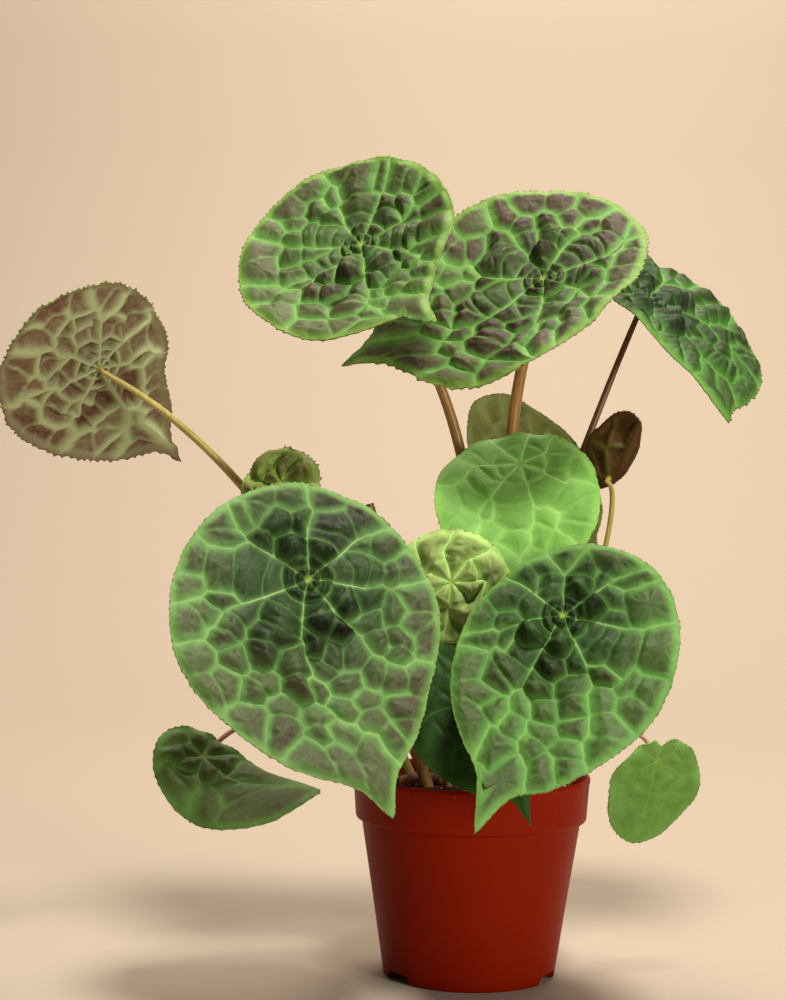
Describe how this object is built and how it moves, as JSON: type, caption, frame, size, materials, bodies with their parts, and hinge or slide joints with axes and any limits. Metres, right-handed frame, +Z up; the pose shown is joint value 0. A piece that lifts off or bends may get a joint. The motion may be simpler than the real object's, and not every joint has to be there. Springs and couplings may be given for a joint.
{
  "type": "potted begonia",
  "caption": "House plant with shield-shaped, quilted leaves on long stalks rising from a creeping rootstock, standing in a small round nursery pot filled with peat soil.",
  "frame": {"origin": "middle of the pot's flat foot, on the surface that it stands on", "axes": "+Z up out of the pot, -Y towards the plant's front, where the large front leaves hang, +X to the right seen from the front"},
  "size_m": [0.3209, 0.191, 0.3457],
  "materials": {
    "pot_plastic": "satin",
    "peat_soil": "matte",
    "rootstock_bark": "matte",
    "stalk_skin": "satin",
    "leaf_mature": "satin",
    "leaf_young": "satin",
    "leaf_red": "satin"
  },
  "bodies": {
    "root": {"pot": "pot_plastic", "soil": "peat_soil", "rootstock": "rootstock_bark", "stub_stalk": "stalk_skin", "leaf_front_left_blade": "leaf_mature", "leaf_front_left_stalk": "stalk_skin", "leaf_front_right_blade": "leaf_mature", "leaf_front_right_stalk": "stalk_skin", "leaf_upper_left_blade": "leaf_mature", "leaf_upper_left_stalk": "stalk_skin", "leaf_upper_right_blade": "leaf_mature", "leaf_upper_right_stalk": "stalk_skin", "leaf_far_left_blade": "leaf_mature", "leaf_far_left_stalk": "stalk_skin", "leaf_far_right_blade": "leaf_mature", "leaf_far_right_stalk": "stalk_skin", "leaf_young_middle_blade": "leaf_young", "leaf_young_middle_stalk": "stalk_skin", "leaf_young_curled_blade": "leaf_young", "leaf_young_curled_stalk": "stalk_skin", "leaf_low_middle_blade": "leaf_mature", "leaf_low_middle_stalk": "stalk_skin", "leaf_back_blade": "leaf_mature", "leaf_back_stalk": "stalk_skin", "leaf_small_red_blade": "leaf_red", "leaf_small_red_stalk": "stalk_skin", "leaf_small_crinkled_blade": "leaf_young", "leaf_small_crinkled_stalk": "stalk_skin", "leaf_low_left_blade": "leaf_mature", "leaf_low_left_stalk": "stalk_skin", "leaf_low_right_blade": "leaf_young", "leaf_low_right_stalk": "stalk_skin"}
  },
  "joints": []
}
